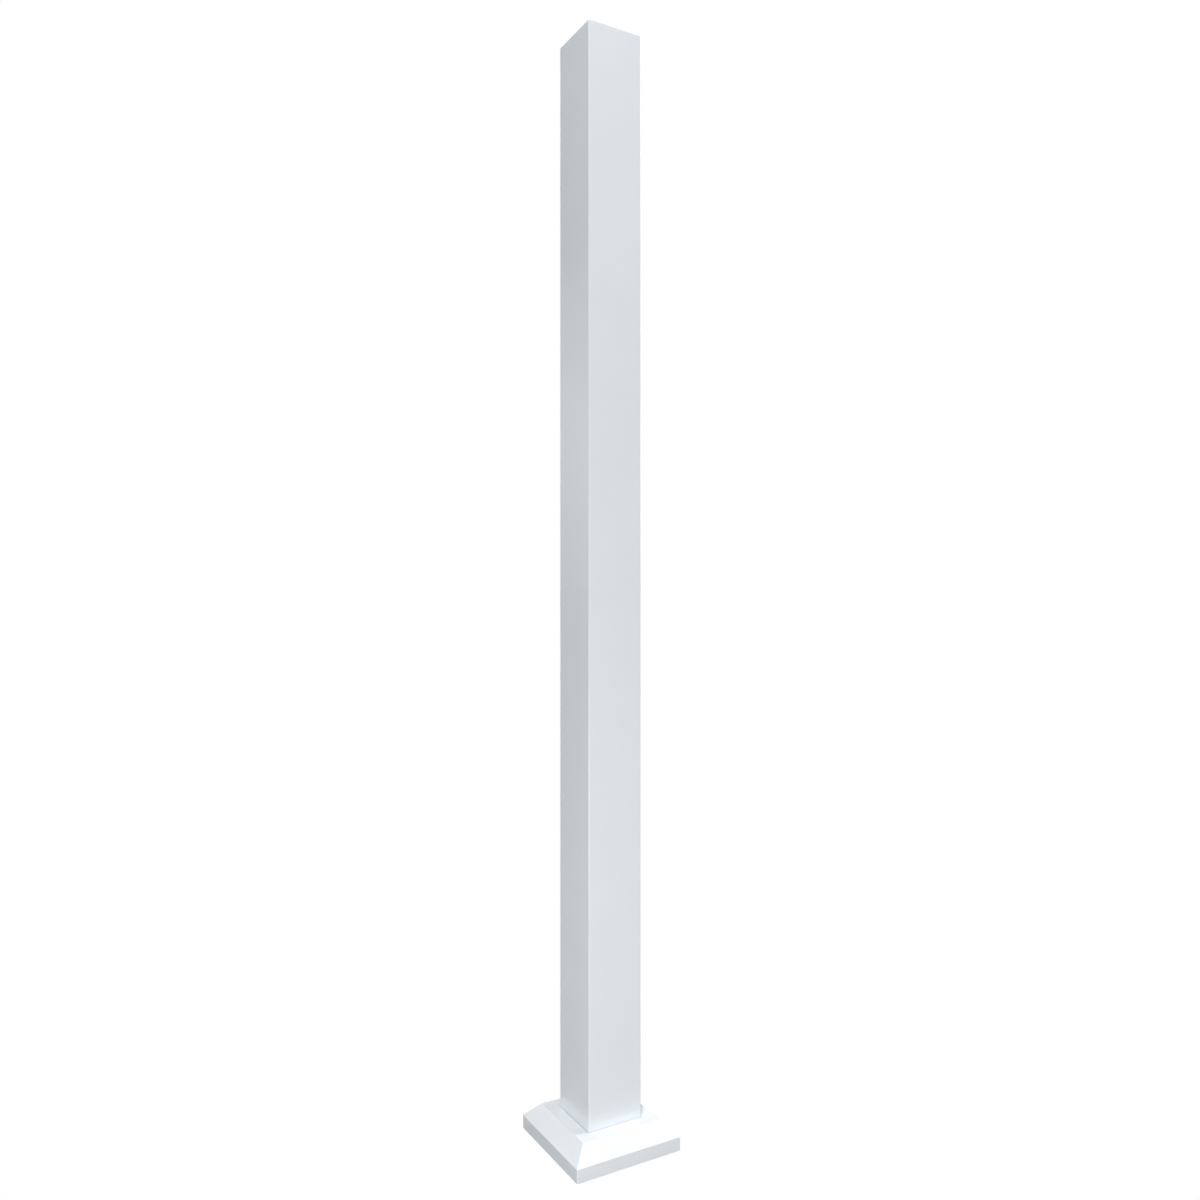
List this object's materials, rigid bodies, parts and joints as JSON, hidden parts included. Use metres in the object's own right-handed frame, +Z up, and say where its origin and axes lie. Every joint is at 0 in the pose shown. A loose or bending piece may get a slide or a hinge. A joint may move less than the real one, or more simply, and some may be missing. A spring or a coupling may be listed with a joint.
{
  "type": "deck post",
  "caption": "Square white aluminium railing post, open at the cut top, welded to a drilled foot plate under a sloped square base cover.",
  "frame": {"origin": "centre of the post on the floor, under the foot plate", "axes": "+Z up along the post; the faces of the post and of the cover look along X and Y; the picture's wide face looks along -Y and its narrow face along -X"},
  "size_m": [0.1114, 0.1114, 1.06],
  "materials": {
    "post_powder_coat": "satin white powder coat on extruded aluminium, fine orange peel, faint extrusion lines along the post",
    "cover_powder_coat": "satin white powder coat on a cast aluminium cover, fine orange peel"
  },
  "bodies": {
    "root": {"post": "post_powder_coat", "base_cover": "cover_powder_coat"}
  },
  "joints": []
}
